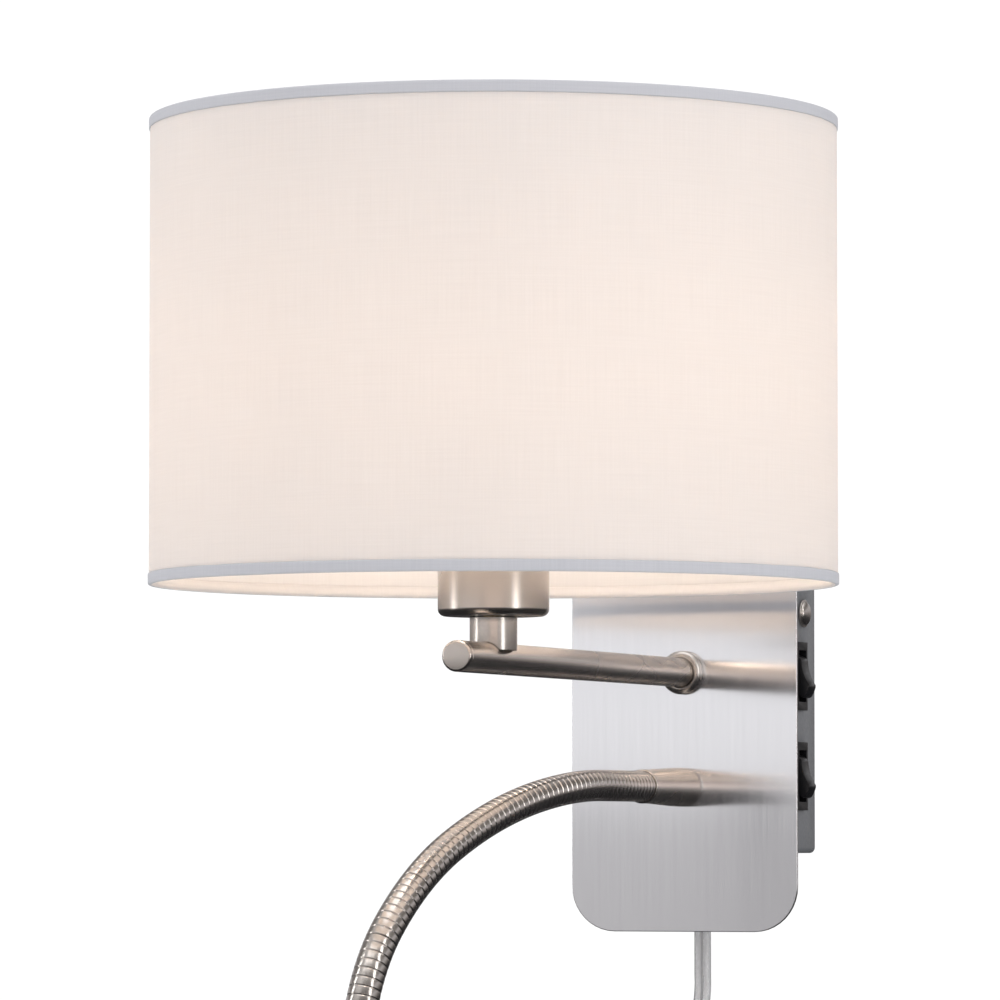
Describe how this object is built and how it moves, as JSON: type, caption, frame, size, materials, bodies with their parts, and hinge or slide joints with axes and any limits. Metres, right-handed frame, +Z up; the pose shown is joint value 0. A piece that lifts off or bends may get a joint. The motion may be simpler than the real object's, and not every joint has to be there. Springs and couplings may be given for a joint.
{
  "type": "wall reading lamp",
  "caption": "Wall lamp on a brushed back plate: a drum shade on a straight arm, an LED reading head on a bendable ribbed hose, rocker switches on the side, and a cord with plug.",
  "frame": {"origin": "centre of the wall bracket's back face, on the wall", "axes": "+Z up, +Y into the wall, the lamp stands out towards -Y; +X is on the right when facing the wall, the side with the switches"},
  "size_m": [0.2816, 0.4138, 0.6739],
  "materials": {
    "brushed_plate": "vertically brushed satin nickel",
    "satin_nickel": "satin nickel plating",
    "head_nickel": "satin nickel plating on aluminium",
    "grey_box": "satin grey",
    "zinc_steel": "zinc plated",
    "reflector_aluminium": "polished",
    "brass": "plain",
    "black_plastic": "fine satin",
    "white_plastic": "matte",
    "porcelain": "glazed",
    "bulb_glass": "frosted white",
    "lens_glass": "clear",
    "shade_fabric": "fine woven linen on a stiff liner",
    "shade_trim": "folded fabric tape",
    "clear_flex": "clear flexible PVC over silver wire"
  },
  "bodies": {
    "base": {"wall_bracket": "zinc_steel", "wall_box": "grey_box", "cover_plate": "brushed_plate", "cap_nut_right": "satin_nickel", "side_screw_right": "zinc_steel", "cap_nut_left": "satin_nickel", "side_screw_left": "zinc_steel", "led_driver": "white_plastic", "terminal_block": "white_plastic", "switch_body_upper": "black_plastic", "switch_body_lower": "black_plastic", "arm_nipple": "brass", "arm_nut": "zinc_steel", "arm_collar": "satin_nickel", "arm_bar": "satin_nickel", "arm_end_cap": "satin_nickel", "spacer_sleeve": "satin_nickel", "stem_nipple": "brass", "holder_nut": "zinc_steel", "holder_cup": "satin_nickel", "lampholder_body": "porcelain", "lampholder_shell": "brass", "shade_clamp_ring": "satin_nickel", "bulb_cap": "zinc_steel", "bulb_glass": "bulb_glass", "shade_fabric": "shade_fabric", "shade_trim_bottom": "shade_trim", "shade_trim_top": "shade_trim", "shade_wire_bottom": "zinc_steel", "shade_wire_top": "zinc_steel", "fitter_ring": "zinc_steel", "spider_arm_1": "zinc_steel", "spider_arm_2": "zinc_steel", "spider_arm_3": "zinc_steel", "hose_nipple": "brass", "hose_nut": "zinc_steel", "hose_ferrule": "satin_nickel", "cord_strain_relief": "clear_flex", "cord_lead": "clear_flex", "cord_hank": "clear_flex", "hank_tie": "black_plastic", "plug_body": "clear_flex", "plug_blade_front": "brass", "plug_blade_back": "brass"},
    "rocker_upper": {"rocker_upper": "black_plastic"},
    "rocker_lower": {"rocker_lower": "black_plastic"},
    "hose_1": {"hose_1": "satin_nickel"},
    "hose_2": {"hose_2": "satin_nickel"},
    "hose_3": {"hose_3": "satin_nickel"},
    "hose_4": {"hose_4": "satin_nickel"},
    "hose_5": {"hose_5": "satin_nickel"},
    "hose_6": {"hose_6": "satin_nickel"},
    "hose_7": {"hose_7": "satin_nickel"},
    "hose_8": {"hose_8": "satin_nickel", "head_collar": "satin_nickel", "head_housing": "head_nickel", "head_led_board": "white_plastic", "head_reflector": "reflector_aluminium", "head_lens": "lens_glass", "head_bezel": "head_nickel"}
  },
  "joints": [
    {"name": "upper_switch_rock", "type": "hinge", "parent": "base", "child": "rocker_upper", "pos_m": [0.0476, -0.0225, 0.0123], "axis": [0, -1, 0], "range_deg": [-36, 0]},
    {"name": "lower_switch_rock", "type": "hinge", "parent": "base", "child": "rocker_lower", "pos_m": [0.0476, -0.0225, -0.0317], "axis": [0, -1, 0], "range_deg": [-36, 0]},
    {"name": "hose_swing_1", "type": "hinge", "parent": "base", "child": "hose_1", "pos_m": [0, -0.096, -0.0366], "axis": [0, 0, 1], "range_deg": [-14, 14]},
    {"name": "hose_bend_1", "type": "hinge", "parent": "hose_1", "child": "hose_2", "pos_m": [-0.00157, -0.13071, -0.0366], "axis": [0.9959, -0.0902, 0], "range_deg": [-10, 14]},
    {"name": "hose_swing_2", "type": "hinge", "parent": "hose_2", "child": "hose_3", "pos_m": [-0.00626, -0.16511, -0.03783], "axis": [-0.0173, -0.095, 0.9953], "range_deg": [-14, 14]},
    {"name": "hose_bend_2", "type": "hinge", "parent": "hose_3", "child": "hose_4", "pos_m": [-0.0138, -0.19854, -0.04345], "axis": [0.9703, -0.2419, 0], "range_deg": [-10, 14]},
    {"name": "hose_swing_3", "type": "hinge", "parent": "hose_4", "child": "hose_5", "pos_m": [-0.02184, -0.23079, -0.05353], "axis": [-0.0852, -0.3418, 0.9359], "range_deg": [-14, 14]},
    {"name": "hose_bend_3", "type": "hinge", "parent": "hose_5", "child": "hose_6", "pos_m": [-0.02947, -0.26139, -0.06807], "axis": [0.9703, -0.2419, 0], "range_deg": [-10, 14]},
    {"name": "hose_swing_4", "type": "hinge", "parent": "hose_6", "child": "hose_7", "pos_m": [-0.03616, -0.28821, -0.08901], "axis": [-0.1681, -0.6743, 0.7191], "range_deg": [-14, 14]},
    {"name": "hose_bend_4", "type": "hinge", "parent": "hose_7", "child": "hose_8", "pos_m": [-0.04108, -0.30796, -0.11691], "axis": [0.9703, -0.2419, 0], "range_deg": [-10, 14]}
  ],
  "couplings": [
    {"joint": "hose_swing_2", "follows": "hose_swing_1", "ratio": 1},
    {"joint": "hose_swing_3", "follows": "hose_swing_1", "ratio": 1},
    {"joint": "hose_swing_4", "follows": "hose_swing_1", "ratio": 1},
    {"joint": "hose_bend_2", "follows": "hose_bend_1", "ratio": 1},
    {"joint": "hose_bend_3", "follows": "hose_bend_1", "ratio": 1},
    {"joint": "hose_bend_4", "follows": "hose_bend_1", "ratio": 1}
  ]
}
